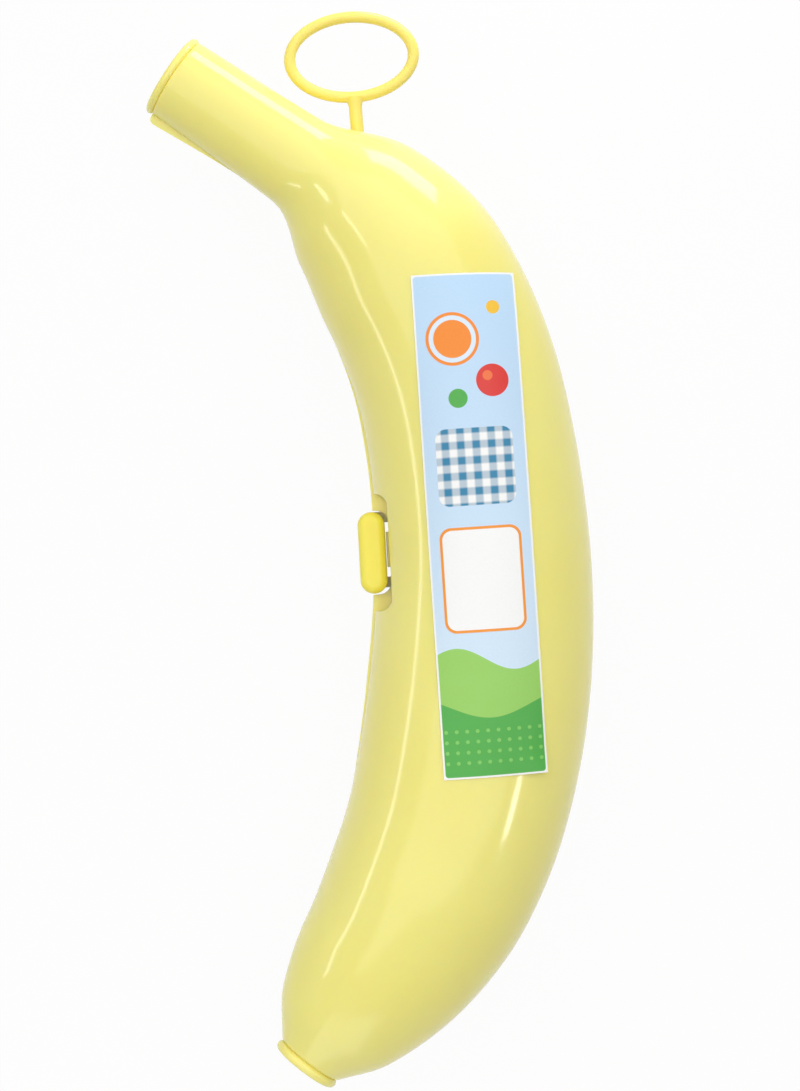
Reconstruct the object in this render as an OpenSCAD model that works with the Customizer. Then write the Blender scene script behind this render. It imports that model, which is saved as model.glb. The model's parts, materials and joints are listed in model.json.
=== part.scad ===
// Hard carrying case for one banana. Two moulded half shells are hinged along the
// convex side, a turning clip closes them on the concave side, and a finger ring
// swivels in the shoulder. The case lies on its back with the parting plane level,
// the stem end towards +Y and the convex side towards +X.

/* [Spine] */
// Heading of the spine where it leaves the tip end, from +X
tip_heading = 53; // [48:1:58]
// Straight run of the spine behind the tip end
tip_run = 28; // [22:0.5:34]
// Radius of the bend above the tip
lower_bend_r = 100; // [85:1:130]
// Turn of the bend above the tip
lower_bend_turn = 24; // [20:1:28]
// Radius of the long bend along the belly
belly_bend_r = 200; // [180:1:240]
// Turn of the long bend along the belly
belly_bend_turn = 25; // [22:1:29]
// Radius of the bend below the shoulder
shoulder_bend_r = 100; // [80:1:120]
// Turn of the bend below the shoulder
shoulder_bend_turn = 17; // [13:1:21]
// Radius of the bend into the neck
neck_bend_r = 80; // [70:1:95]
// Turn of the bend into the neck
neck_bend_turn = 27; // [23:1:31]
// Straight run of the neck up to the stem end
neck_run = 36; // [30:0.5:42]

/* [Girth] */
// Diameter of the tip end
tip_end_d = 15.5; // [14:0.1:20]
// Tip flank, distance from the tip end
flank_at = 10; // [8:0.5:13]
// Tip flank, width
flank_w = 30; // [27:0.2:33]
// Tip flank, depth
flank_depth = 28; // [25:0.2:31]
// Lower belly, distance from the tip end
low_belly_at = 26; // [22:0.5:32]
// Lower belly, width
low_belly_w = 40.4; // [37:0.2:44]
// Lower belly, depth
low_belly_depth = 39; // [35:0.2:42]
// Middle belly, distance from the tip end
mid_belly_at = 50; // [45:1:55]
// Middle belly, width
mid_belly_w = 47.4; // [45:0.2:49.6]
// Middle belly, depth
mid_belly_depth = 45.8; // [43:0.2:47]
// Belly, distance from the tip end
belly_at = 88; // [75:1:95]
// Belly, width
belly_w = 50.2; // [46:0.2:54]
// Belly and waist, depth
belly_depth = 47; // [43:0.2:52]
// Waist beside the clip, distance from the tip end
waist_at = 150; // [140:1:158]
// Waist beside the clip, width
waist_w = 46.8; // [43:0.2:50]
// Shoulder, distance from the stem end
shoulder_back = 71; // [66:0.5:76]
// Shoulder, width
shoulder_w = 45; // [42:0.2:48]
// Shoulder, depth
shoulder_depth = 44.8; // [42:0.2:47]
// Fall of the shoulder, distance from the stem end
fall_back = 50; // [46:0.5:56]
// Fall of the shoulder, width
fall_w = 36.6; // [33:0.2:40]
// Fall of the shoulder, depth
fall_depth = 35; // [31:0.2:38]
// Root of the neck, distance from the stem end
neck_back = 33; // [29:0.5:37]
// Diameter of the neck at its root
neck_d = 21.4; // [19.4:0.2:24]
// Diameter of the stem end
stem_end_d = 19.2; // [17:0.1:21]

/* [Shells] */
// Wall of both shells
wall = 2; // [1.6:0.1:2.6]
// Gap between the two rims
parting_gap = 0.2; // [0.1:0.05:0.3]
// Height of the tongue on the back shell's rim
tongue_h = 1; // [0.6:0.1:1.6]
// Clearance of the tongue in the front shell
tongue_gap = 0.25; // [0.15:0.05:0.4]
// Depth of the flat that the case lies on
flat_depth = 0.8; // [0.4:0.1:1.2]
// Thickness of the half-round lip at the stem end
stem_lip_t = 1.8; // [1.2:0.1:2.6]
// Thickness of the half-round lip at the tip end
tip_lip_t = 2.3; // [1.4:0.1:3]
// How far the lips stand out past the front shell
lip_over = 0.3; // [0:0.1:1]

/* [Hinge] */
// Hinge pin diameter
hinge_pin_d = 1.8; // [1.4:0.1:2.2]
// Hinge axis, distance inside the convex edge
hinge_inset = 3; // [2.8:0.1:3.4]
// Hinge axis, distance below the parting plane
hinge_drop = 6; // [5:0.1:7]
// Length of the rib that carries the pin
hinge_len = 34; // [30:1:40]
// Length of each of the two lugs on the front shell
lug_len = 7.5; // [5:0.5:10]
// Distance of each lug's middle from the middle of the hinge
lug_at = 10; // [8:0.5:11]
// Material round the pin in each lug
lug_skin = 0.8; // [0.6:0.1:1]
// Side and running clearance of the lugs
lug_gap = 0.3; // [0.2:0.05:0.5]
// Running clearance of the pin in the lugs, on the radius
pin_gap = 0.1; // [0.05:0.01:0.15]
// Fit of each pin in the shell that holds it, on the radius
pin_fit = 0.02; // [0.01:0.01:0.05]
// Material round the pin in the rib
rib_wall = 1.3; // [1:0.1:1.6]
// Depth of the rib's outer face below the inner side of the wall at the rim
rib_sink = 0.4; // [0.2:0.1:0.6]
// Room under each lug, which its arm turns into
lug_room = 1.5; // [1.2:0.1:2]

/* [Clip] */
// Distance of the clip up the spine from where the spine runs along +Y
clip_up = 11; // [4:0.5:18]
// Length of the clip along the edge
clip_len = 18.4; // [18:0.1:22]
// Width of the clip, from the recess outwards
clip_w = 6.1; // [6:0.1:8]
// Corner radius of the clip in plan
clip_corner_r = 3; // [2:0.1:3]
// Top of the clip above the parting plane
clip_top = 5.5; // [4.5:0.1:7]
// Depth of the recess that the clip lies in
recess_depth = 3; // [2.8:0.1:3.4]
// Length of the recess in the front shell
recess_len = 26.4; // [24:0.1:30]
// Room past each end of the clip in the back shell, which leaves a ledge there
clip_end_gap = 0.3; // [0.3:0.05:0.8]
// Corner radius of the recess
recess_r = 2.8; // [2:0.1:2.8]
// Height of the recess above and below the parting plane
recess_h = 9.5; // [9:0.1:10]
// Wall behind the floor of the recess
recess_wall = 1.8; // [1.4:0.1:2.2]
// How far that wall laps round the recess
recess_lap = 0.8; // [0.6:0.1:0.8]
// Gap between the clip and the floor of the recess
clip_gap = 0.8; // [0.5:0.05:1]
// Gap between the clip's foot and the floor of the recess
foot_gap = 0.3; // [0.2:0.05:0.5]
// Clip pin diameter
clip_pin_d = 1.6; // [1.2:0.1:1.8]
// Clip pin, distance out from the floor of the recess
clip_pin_out = 2.4; // [2.2:0.1:2.8]
// Clip pin, distance below the parting plane
clip_pin_drop = 4.5; // [4:0.1:5.2]
// Thickness of each ear that carries the clip pin
ear_t = 2.4; // [1.6:0.1:2.8]
// Distance of each ear's middle from the middle of the catch
ear_at = 7.4; // [7:0.1:7.6]
// Material round the pin in each ear
ear_skin = 0.9; // [0.7:0.1:1]
// Length of the catch on the front shell
catch_len = 8; // [5:0.5:9]
// Distance of the catch towards the stem from the clip's middle
catch_up = 0.6; // [0:0.1:1]
// Bottom of the catch above the parting plane
catch_low = 0.8; // [0.5:0.1:1.2]
// Height of the catch
catch_h = 1.8; // [1:0.1:2.2]
// Clearance between the catch and the clip
catch_gap = 0.15; // [0.1:0.05:0.25]
// Depth of the hook's groove in the clip
hook_depth = 1.2; // [0.8:0.1:1.5]

/* [Ring] */
// Distance of the ring's socket from the stem end, along the spine
ring_back = 40; // [38:0.5:42]
// Lean of the ring's stem from +Y towards the stem end
ring_lean = 4.5; // [0:0.5:8]
// Outer length of the oval ring
ring_len = 30.8; // [26:0.2:36]
// Outer height of the oval ring
ring_h = 20.8; // [18:0.1:24]
// Thickness of the ring's round bar
ring_bar = 2.6; // [2:0.1:3.2]
// Distance from the socket to the middle of the ring
ring_reach = 17.4; // [16:0.2:22]
// Diameter of the ring's stem
ring_stem_d = 3; // [2.4:0.1:3.2]
// Stem axis below the parting plane
ring_drop = 3.6; // [3.4:0.1:4.2]
// Length of the socket inside the wall
socket_len = 6; // [5:0.1:8]
// Wall of the socket round the stem
socket_wall = 1.6; // [1.2:0.1:1.8]
// Running clearance of the stem in the socket, on the radius
stem_gap = 0.1; // [0.05:0.01:0.2]
// Diameter of the head that keeps the stem in the socket
stem_head_d = 5; // [4.4:0.1:6]
// Thickness of that head
stem_head_t = 1.6; // [1.2:0.1:2.4]

/* [Label] */
// Length of the label
label_len = 111; // [80:1:118]
// Width of the label
label_w = 23; // [16:0.5:26]
// Thickness of the label
label_t = 0.15; // [0.1:0.01:0.3]
// Height of the label's underside over the moulded surface
label_lift = 0.1; // [0.08:0.01:0.15]
// Turn of the label from +Y towards the tip's side
label_turn = 3.8; // [0:0.2:8]
// Distance of the label's middle up the spine from where the spine runs along +Y
label_up = 16; // [8:0.5:24]
// Distance of the label's middle from the spine, towards the clip
label_side = 1; // [0:0.2:4]

/* [Hidden] */
$fn = 48;

shell_yellow = "#F9F0A2";
trim_yellow = "#F5E45F";
pin_steel = "#B9BDC2";
label_blue = "#CFE7F4";

// A hair of overlap that makes joined solids one
weld = 0.05;
// Past this far outside a wall a cut has surely left it
clear_of = 12;

// Rings of the shells along the spine, and facets over each half section
rings = 52;
facets = 16;
// Steps round the oval ring, and sides of its bar
ring_steps = 48;
ring_sides = 12;
// Rows and columns of the label's sheet
label_rows = 28;
label_columns = 10;

// The spine as straight runs (radius 0) and bends: length and radius of each
function bend_len(r, turn) = r * turn * PI / 180;
runs = [[tip_run, 0],
        [bend_len(lower_bend_r, lower_bend_turn), lower_bend_r],
        [bend_len(belly_bend_r, belly_bend_turn), belly_bend_r],
        [bend_len(shoulder_bend_r, shoulder_bend_turn), shoulder_bend_r],
        [bend_len(neck_bend_r, neck_bend_turn), neck_bend_r],
        [neck_run, 0]];
spine_len = [for (r = runs) r[0]] * [for (r = runs) 1];

// Place and heading after a distance s along one run
function along_run(from, run, s) =
    run[1] == 0
        ? [from[0] + s * [cos(from[1]), sin(from[1])], from[1]]
        : let (heading = from[1] + s / run[1] * 180 / PI)
          [from[0] + run[1] * [sin(heading) - sin(from[1]), cos(from[1]) - cos(heading)],
           heading];

// Place and heading at a distance s from the tip end
function walk(s, from, k = 0) =
    s <= runs[k][0] || k == len(runs) - 1
        ? along_run(from, runs[k], s)
        : walk(s - runs[k][0], along_run(from, runs[k], runs[k][0]), k + 1);

// Girth stations: distance from the tip end, half width and half depth
stations = [[0, tip_end_d / 2, tip_end_d / 2],
            [flank_at, flank_w / 2, flank_depth / 2],
            [low_belly_at, low_belly_w / 2, low_belly_depth / 2],
            [mid_belly_at, mid_belly_w / 2, mid_belly_depth / 2],
            [belly_at, belly_w / 2, belly_depth / 2],
            [waist_at, waist_w / 2, belly_depth / 2],
            [spine_len - shoulder_back, shoulder_w / 2, shoulder_depth / 2],
            [spine_len - fall_back, fall_w / 2, fall_depth / 2],
            [spine_len - neck_back, neck_d / 2, neck_d / 2],
            [spine_len, stem_end_d / 2, stem_end_d / 2]];
last = len(stations) - 1;

// A smooth curve through the stations that never overshoots them
function rise(c, i) =
    (stations[i + 1][c] - stations[i][c]) / (stations[i + 1][0] - stations[i][0]);
function slope(c, i) =
    i == 0 ? rise(c, 0)
    : i == last ? rise(c, last - 1)
    : rise(c, i - 1) * rise(c, i) <= 0 ? 0
    : 2 * rise(c, i - 1) * rise(c, i) / (rise(c, i - 1) + rise(c, i));
function girth(c, s) =
    let (i = max([for (k = [0:last - 1]) if (k == 0 || s >= stations[k][0]) k]),
         span = stations[i + 1][0] - stations[i][0],
         t = (s - stations[i][0]) / span)
    stations[i][c] * (1 - 3 * t * t + 2 * t * t * t)
    + stations[i + 1][c] * (3 * t * t - 2 * t * t * t)
    + slope(c, i) * span * (t - 2 * t * t + t * t * t)
    + slope(c, i + 1) * span * (t * t * t - t * t);
function half_w(s) = girth(1, s);
function half_d(s) = girth(2, s);

// A point beside the spine in plan, on the convex side where off is positive
function beside(pose, off) = pose[0] + off * [sin(pose[1]), -cos(pose[1])];

// The lips: middles of the round rim at both ends of each lip, in plan
stem_lip_r = stem_end_d / 2 + lip_over;
tip_lip_r = tip_end_d / 2 + lip_over;
raw_start = [[0, 0], tip_heading];
function lip_middles(s, ahead, r, t) =
    let (mid = along_run(walk(s, raw_start), [0, 0], ahead * t / 2))
    [for (side = [-1, 1]) beside(mid, side * (r - t / 2))];
raw_stem_lip = lip_middles(spine_len, 1, stem_lip_r, stem_lip_t);
raw_tip_lip = lip_middles(0, -1, tip_lip_r, tip_lip_t);

// Half sizes of the oval ring's middle line
oval_a = (ring_len - ring_bar) / 2;
oval_b = (ring_h - ring_bar) / 2;

// The socket of the ring on the convex edge
ring_s = spine_len - ring_back;
raw_socket = beside(walk(ring_s, raw_start), half_w(ring_s));
ring_top = ring_reach * cos(ring_lean)
           + norm([oval_a * sin(ring_lean), oval_b * cos(ring_lean)]) + ring_bar / 2;

// The middle of the whole case in plan goes to the origin
raw_edge_x = [for (i = [0:rings]) let (s = spine_len * i / rings)
              beside(walk(s, raw_start), half_w(s))[0]];
raw_low = [min([for (p = raw_stem_lip) p[0]]) - stem_lip_t / 2,
           min([for (p = raw_tip_lip) p[1]]) - tip_lip_t / 2];
raw_high = [max(raw_edge_x), raw_socket[1] + ring_top];
start = [-(raw_low + raw_high) / 2, tip_heading];
function pose(s) = walk(s, start);

// Heights of the parting plane and of the front rim
parting_z = belly_depth / 2 - flat_depth;
front_z = parting_z + parting_gap;

// Where the spine runs along +Y
level_s = tip_run + runs[1][0]
          + bend_len(belly_bend_r, 90 - tip_heading - lower_bend_turn);
// The hinge is where the convex edge runs along +Y, which the taper of the belly shifts
function taper(s) = (half_w(s + weld) - half_w(s - weld)) / (2 * weld);
hinge_lean = atan(taper(level_s) / (1 + half_w(level_s) / belly_bend_r));
hinge_s = level_s + bend_len(belly_bend_r, hinge_lean);
hinge_mid = beside(pose(hinge_s), half_w(hinge_s) - hinge_inset);
hinge_z = parting_z - hinge_drop;
lug_r = hinge_pin_d / 2 + pin_gap + lug_skin;
// Half length over which the convex edge lies outside the hinge axis, with some to spare
hinge_spare = 1.1;
hinge_zone = hinge_spare * sqrt(2 * (belly_bend_r + belly_w / 2) * hinge_inset);
// Depth of the slots that the lugs turn in, and how far they reach inside the axis
lug_sweep = lug_r + lug_room;
rib_r = hinge_pin_d / 2 + rib_wall;
slot_in = max(rib_r, lug_r) + lug_gap;
// A lug's arm reaches this far inside the axis, and this far up the front shell's wall
arm_in = lug_r / 2;
arm_up = 2 * wall;
// The rib's outer face lies this far inside the convex edge
rib_inset = wall + rib_sink;

// The clip sits on the concave edge
clip_s = level_s + clip_up;
clip_pose = pose(clip_s);
clip_edge = beside(clip_pose, -half_w(clip_s));
// Out from the edge: floor of the recess, inner face of the clip, clip pin
floor_u = -recess_depth;
clip_in = floor_u + clip_gap;
clip_pin_u = floor_u + clip_pin_out;
ear_r = clip_pin_d / 2 + ear_skin;
clip_foot_r = clip_pin_out - foot_gap;
clip_low = -clip_pin_drop - clip_foot_r;

// The surface of the front shell over a point in plan
function dot(a, b) = a[0] * b[0] + a[1] * b[1];
function station_of(p, s, tries = 8) =
    tries == 0 ? s
    : let (at = pose(s))
      station_of(p, s + dot(p - at[0], [cos(at[1]), sin(at[1])]), tries - 1);
function front_top(p) =
    let (s = station_of(p, level_s), at = pose(s),
         off = dot(p - at[0], [sin(at[1]), -cos(at[1])]) / half_w(s))
    front_z + half_d(s) * sqrt(1 - off * off);

// Two triangles of a four-sided patch
function patch(a, b, c, d) = [[a, b, c], [a, c, d]];
function turned(faces) = [for (f = faces) [f[2], f[1], f[0]]];

// One half section at distance s, inset from the moulded surface, from the convex
// rim over the crown to the concave rim; from_h leaves out what is nearer the rim
function half_section(s, inset, z, up, from_h = 0) =
    let (at = pose(s), w = half_w(s) - inset, d = half_d(s) - inset, low = asin(from_h / d))
    [for (j = [0:facets])
        let (t = low + (180 - 2 * low) * j / facets, p = beside(at, w * cos(t)))
        [p[0], p[1], z + up * d * sin(t)]];
// Distance of ring i when both ends are inset
function ring_at(i, inset) = inset + (spine_len - 2 * inset) * i / rings;
// A loop round the rim, up the convex side and back down the concave side
function rim_loop(inset, z) =
    concat([for (i = [0:rings]) let (s = ring_at(i, inset), p = beside(pose(s), half_w(s) - inset))
               [p[0], p[1], z]],
           [for (i = [rings:-1:0]) let (s = ring_at(i, inset), p = beside(pose(s), inset - half_w(s)))
               [p[0], p[1], z]]);

// A half shell: outer skin, loops across the rim, inner skin and both end walls
module half_shell(up, z, rim, inner_from) {
    row = facets + 1;
    skin = (rings + 1) * row;
    lap = 2 * (rings + 1);
    points = concat(
        [for (i = [0:rings]) each half_section(ring_at(i, 0), 0, z, up)],
        [for (i = [0:rings]) each half_section(ring_at(i, wall), wall, z, up, inner_from)],
        [for (loop = rim) each rim_loop(loop[0], loop[1])]);
    outer = [for (i = [0:rings - 1], j = [0:facets - 1])
             each patch(i * row + j, (i + 1) * row + j, (i + 1) * row + j + 1, i * row + j + 1)];
    inner = [for (f = outer) [f[0] + skin, f[2] + skin, f[1] + skin]];
    caps = [for (j = [1:facets - 1])
            each [[0, j, j + 1],
                  [skin, skin + j + 1, skin + j],
                  [rings * row, rings * row + j + 1, rings * row + j],
                  [skin + rings * row, skin + rings * row + j, skin + rings * row + j + 1]]];
    function border(base) = concat([for (i = [0:rings]) base + i * row],
                                   [for (i = [rings:-1:0]) base + i * row + facets]);
    loops = concat([border(0)],
                   [for (k = [0:len(rim) - 1]) [for (n = [0:lap - 1]) 2 * skin + k * lap + n]],
                   [border(skin)]);
    across = [for (k = [0:len(loops) - 2], n = [0:lap - 1])
              let (m = (n + 1) % lap)
              each patch(loops[k][n], loops[k + 1][n], loops[k + 1][m], loops[k][m])];
    faces = concat(outer, inner, caps, across);
    polyhedron(points, up > 0 ? turned(faces) : faces, convexity = 8);
}

// Frames: children in the clip's frame have x out of the edge, y down the spine and
// z up from the parting plane; children in the ring's frame have y along its stem
module at_clip() translate([clip_edge[0], clip_edge[1], parting_z])
    rotate([0, 0, clip_pose[1] + 90]) children();
module at_ring() {
    socket = beside(pose(ring_s), half_w(ring_s));
    translate([socket[0], socket[1], parting_z - ring_drop]) rotate([0, 0, ring_lean]) children();
}
module at_hinge() translate([hinge_mid[0], hinge_mid[1], hinge_z]) children();
// A cylinder along y
module bar_y(d, from, to) translate([0, to, 0]) rotate([90, 0, 0]) cylinder(d = d, h = to - from);

// The half-round lip that closes one end of the front shell
module lip(s, ahead, r, t) {
    at = pose(s);
    translate([at[0][0], at[0][1], front_z]) rotate([0, 0, at[1] - 90]) rotate([-90 * ahead, 0, 0])
        rotate([0, 0, ahead > 0 ? 180 : 0]) rotate_extrude(angle = 180) {
            translate([0, -weld]) square([r - t / 2, t + weld]);
            translate([r - t / 2, t / 2]) circle(d = t);
        }
}

// The body of the recess behind the clip, and the room cut out of it
module recess_body(low, high)
    translate([floor_u - recess_wall, -recess_len / 2 - wall, low])
        cube([recess_wall + recess_lap, recess_len + 2 * wall, high - low]);
module recess_room(low, high, length) translate([0, 0, low]) linear_extrude(high - low) {
    translate([floor_u + recess_r, -length / 2]) square([clear_of, length]);
    translate([floor_u, recess_r - length / 2]) square([clear_of, length - 2 * recess_r]);
    for (end = [-1, 1])
        translate([floor_u + recess_r, end * (length / 2 - recess_r)]) circle(recess_r);
}

module back_shell() color(shell_yellow) {
    difference() {
        union() {
            half_shell(-1, parting_z,
                       [[wall / 2, parting_z], [wall / 2, parting_z + tongue_h],
                        [wall, parting_z + tongue_h]], 0);
            // Rib that carries the hinge pin
            at_hinge() translate([-rib_r, -hinge_len / 2, -rib_r])
                cube([rib_r + hinge_inset - rib_inset, hinge_len, 2 * rib_r]);
            at_clip() recess_body(-recess_h, 0);
            // Socket for the ring's stem
            at_ring() bar_y(ring_stem_d + 2 * stem_gap + 2 * socket_wall, -socket_len, -wall / 2);
        }
        // Flat that the case lies on
        translate([-spine_len, -spine_len, -clear_of])
            cube([2 * spine_len, 2 * spine_len, clear_of]);
        at_hinge() {
            bar_y(hinge_pin_d + 2 * pin_fit, -hinge_len / 2 + wall, hinge_len / 2 + weld);
            for (side = [-1, 1])
                translate([-slot_in, side * lug_at - lug_len / 2 - lug_gap, -lug_sweep])
                    cube([slot_in + clear_of, lug_len + 2 * lug_gap, lug_sweep + clear_of]);
            // The tongue stops short of the hinge
            translate([-clear_of, -hinge_zone, hinge_drop])
                cube([2 * clear_of, 2 * hinge_zone, clear_of]);
            // Relief for the front rim, which rolls over this edge
            difference() {
                translate([0, -hinge_zone, hinge_drop - hinge_inset])
                    cube([clear_of, 2 * hinge_zone, clear_of]);
                bar_y(2 * (hinge_drop + parting_gap - lug_gap), -2 * hinge_zone, 2 * hinge_zone);
            }
        }
        at_clip() {
            recess_room(-recess_h - clear_of, clear_of, clip_len + 2 * clip_end_gap);
            // The tongue stops short of the recess
            recess_room(0, clear_of, recess_len);
        }
        at_ring() bar_y(ring_stem_d + 2 * stem_gap, -clear_of, clear_of);
    }
    // Ears for the clip pin
    at_clip() for (side = [-1, 1]) translate([0, side * ear_at - catch_up - ear_t / 2, 0])
        difference() {
            union() {
                translate([floor_u - weld, 0, -clip_pin_drop - ear_r])
                    cube([clip_pin_out + weld, ear_t, 2 * ear_r]);
                translate([clip_pin_u, 0, -clip_pin_drop]) bar_y(2 * ear_r, 0, ear_t);
            }
            translate([clip_pin_u, 0, -clip_pin_drop])
                bar_y(clip_pin_d + 2 * pin_fit, -weld, ear_t + weld);
        }
}

module front_shell() color(shell_yellow) {
    groove_w = wall / 2 - tongue_gap;
    groove_h = tongue_h + tongue_gap;
    difference() {
        union() {
            half_shell(1, front_z,
                       [[groove_w, front_z], [groove_w, front_z + groove_h]], groove_h);
            at_clip() recess_body(parting_gap, recess_h);
            lip(spine_len, 1, stem_lip_r, stem_lip_t);
            lip(0, -1, tip_lip_r, tip_lip_t);
            // Lugs that reach down to the hinge pin
            at_hinge() for (side = [-1, 1]) translate([0, side * lug_at - lug_len / 2, 0]) {
                bar_y(2 * lug_r, 0, lug_len);
                translate([-arm_in, 0, 0])
                    cube([arm_in + lug_r, lug_len, hinge_drop + parting_gap + arm_up]);
            }
        }
        at_clip() recess_room(-clear_of, recess_h + clear_of, recess_len);
        at_hinge() bar_y(hinge_pin_d + 2 * pin_gap, -hinge_len, hinge_len);
    }
    // Catch that the clip's hook snaps over
    at_clip() translate([floor_u - weld, -catch_up - catch_len / 2, catch_low])
        cube([clip_gap - catch_gap + weld, catch_len, catch_h]);
}

module hinge_pin() color(pin_steel)
    at_hinge() bar_y(hinge_pin_d, -hinge_len / 2 + wall + pin_fit, hinge_len / 2 - wall / 2);

module latch_clip() color(trim_yellow) at_clip() {
    ear_room = ear_t + 2 * lug_gap;
    difference() {
        translate([clip_in, -clip_len / 2, 0]) {
            // The bar above the pin
            translate([0, 0, -clip_pin_drop]) linear_extrude(clip_top + clip_pin_drop) {
                translate([clip_corner_r, 0]) square([clip_w - 2 * clip_corner_r, clip_len]);
                translate([0, clip_corner_r]) square([clip_w, clip_len - 2 * clip_corner_r]);
                for (x = [clip_corner_r, clip_w - clip_corner_r],
                     y = [clip_corner_r, clip_len - clip_corner_r])
                    translate([x, y]) circle(clip_corner_r);
            }
            // The foot that turns on the pin
            translate([clip_pin_u - clip_in, clip_corner_r, -clip_pin_drop])
                intersection() {
                    bar_y(2 * clip_foot_r, 0, clip_len - 2 * clip_corner_r);
                    translate([clip_in - clip_pin_u, 0, -clip_foot_r])
                        cube([2 * clip_foot_r, clip_len, clip_foot_r + weld]);
                }
        }
        translate([clip_pin_u, 0, -clip_pin_drop])
            bar_y(clip_pin_d + 2 * pin_gap, -clip_len, clip_len);
        // Groove under the hook
        translate([clip_in - weld, -clip_len, catch_low - catch_gap])
            cube([hook_depth + weld, 2 * clip_len, catch_h + 2 * catch_gap]);
        // Room for the ears
        for (side = [-1, 1])
            translate([clip_in - weld, side * ear_at - catch_up - ear_room / 2, clip_low - weld])
                cube([clip_pin_u - clip_in + ear_r + lug_gap, ear_room,
                      clip_foot_r + ear_r + lug_gap]);
    }
}

module latch_pin() color(pin_steel) at_clip()
    translate([clip_pin_u, 0, -clip_pin_drop])
        bar_y(clip_pin_d, -ear_at - catch_up - ear_t / 2, ear_at - catch_up + ear_t / 2);

// A round bar bent into an oval round the middle of the ring
module oval_bar(steps, sides) {
    function bar_point(turn, roll) =
        let (square_out = [oval_b * cos(turn), oval_a * sin(turn)],
             out = square_out / norm(square_out),
             r = ring_bar / 2 * cos(roll))
        [oval_a * cos(turn) + r * out[0], oval_b * sin(turn) + r * out[1], ring_bar / 2 * sin(roll)];
    points = [for (k = [0:steps - 1], n = [0:sides - 1])
              bar_point(360 * k / steps, 360 * n / sides)];
    faces = [for (k = [0:steps - 1], n = [0:sides - 1])
             let (ahead = (k + 1) % steps, next = (n + 1) % sides)
             each patch(k * sides + n, k * sides + next, ahead * sides + next, ahead * sides + n)];
    polyhedron(points, faces, convexity = 4);
}

module hang_ring() color(trim_yellow) at_ring() {
    translate([0, ring_reach, 0]) oval_bar(ring_steps, ring_sides);
    bar_y(ring_stem_d, -socket_len - stem_gap, ring_reach - oval_b);
    bar_y(stem_head_d, -socket_len - stem_gap - stem_head_t, -socket_len - stem_gap + weld);
}

module label() {
    rows = label_rows;
    columns = label_columns;
    mid = beside(pose(level_s + label_up), -label_side);
    row = columns + 1;
    sheet = (rows + 1) * row;
    function spot(i, j, lift) =
        let (x = (j / columns - 0.5) * label_w, y = (i / rows - 0.5) * label_len,
             p = mid + [x * cos(label_turn) - y * sin(label_turn),
                        x * sin(label_turn) + y * cos(label_turn)])
        [p[0], p[1], front_top(p) + lift];
    points = [for (lift = [label_lift, label_lift + label_t], i = [0:rows], j = [0:columns])
              spot(i, j, lift)];
    top = [for (i = [0:rows - 1], j = [0:columns - 1])
           each patch(sheet + i * row + j, sheet + (i + 1) * row + j,
                      sheet + (i + 1) * row + j + 1, sheet + i * row + j + 1)];
    under = [for (f = top) [f[0] - sheet, f[2] - sheet, f[1] - sheet]];
    border = concat([for (j = [0:columns - 1]) j], [for (i = [0:rows - 1]) i * row + columns],
                    [for (j = [columns:-1:1]) rows * row + j], [for (i = [rows:-1:1]) i * row]);
    sides = [for (k = [0:len(border) - 1])
             let (a = border[k], b = border[(k + 1) % len(border)])
             each patch(a, a + sheet, b + sheet, b)];
    color(label_blue) polyhedron(points, concat(top, under, sides), convexity = 6);
}

back_shell();
front_shell();
hinge_pin();
latch_clip();
latch_pin();
hang_ring();
label();
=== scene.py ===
"""A hard plastic carrying case for one banana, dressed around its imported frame."""
import json
import math

import bmesh
import bpy
from mathutils import Matrix, Vector
from mathutils.bvhtree import BVHTree


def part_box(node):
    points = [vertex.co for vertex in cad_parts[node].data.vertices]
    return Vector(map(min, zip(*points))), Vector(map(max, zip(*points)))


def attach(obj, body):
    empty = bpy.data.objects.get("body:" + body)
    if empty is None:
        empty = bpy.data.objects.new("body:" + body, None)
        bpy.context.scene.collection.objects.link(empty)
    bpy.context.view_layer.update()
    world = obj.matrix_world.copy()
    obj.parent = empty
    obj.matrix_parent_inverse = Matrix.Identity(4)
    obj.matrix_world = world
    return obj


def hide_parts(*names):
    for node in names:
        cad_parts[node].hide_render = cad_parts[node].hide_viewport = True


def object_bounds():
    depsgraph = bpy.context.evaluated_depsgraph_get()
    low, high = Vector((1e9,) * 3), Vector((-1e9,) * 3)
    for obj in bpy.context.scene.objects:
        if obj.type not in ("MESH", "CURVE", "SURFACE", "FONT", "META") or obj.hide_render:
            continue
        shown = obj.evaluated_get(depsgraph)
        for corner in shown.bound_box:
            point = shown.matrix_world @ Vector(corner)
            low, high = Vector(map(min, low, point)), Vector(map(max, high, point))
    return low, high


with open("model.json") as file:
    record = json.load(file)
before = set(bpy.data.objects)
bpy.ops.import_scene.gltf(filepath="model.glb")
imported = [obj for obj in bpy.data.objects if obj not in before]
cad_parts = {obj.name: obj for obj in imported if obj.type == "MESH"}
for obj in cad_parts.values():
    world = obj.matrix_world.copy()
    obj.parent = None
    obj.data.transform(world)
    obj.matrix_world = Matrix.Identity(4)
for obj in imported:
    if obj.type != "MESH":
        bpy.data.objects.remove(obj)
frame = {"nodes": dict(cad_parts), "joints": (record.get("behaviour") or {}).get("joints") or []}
cad_low, cad_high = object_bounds()

# Back shell
# The lower half of the case, a polypropylene moulding with a 2 mm wall that follows a
# bent spine. Its rim has a tongue, and a rib, two ears and a socket carry the fittings.
mm = 0.001
wall = 2 * mm
parting_gap = 0.2 * mm
tongue_h = 1 * mm
flat_z = 0.0
parting_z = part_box("back_shell")[1].z - tongue_h
front_z = parting_z + parting_gap

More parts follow.
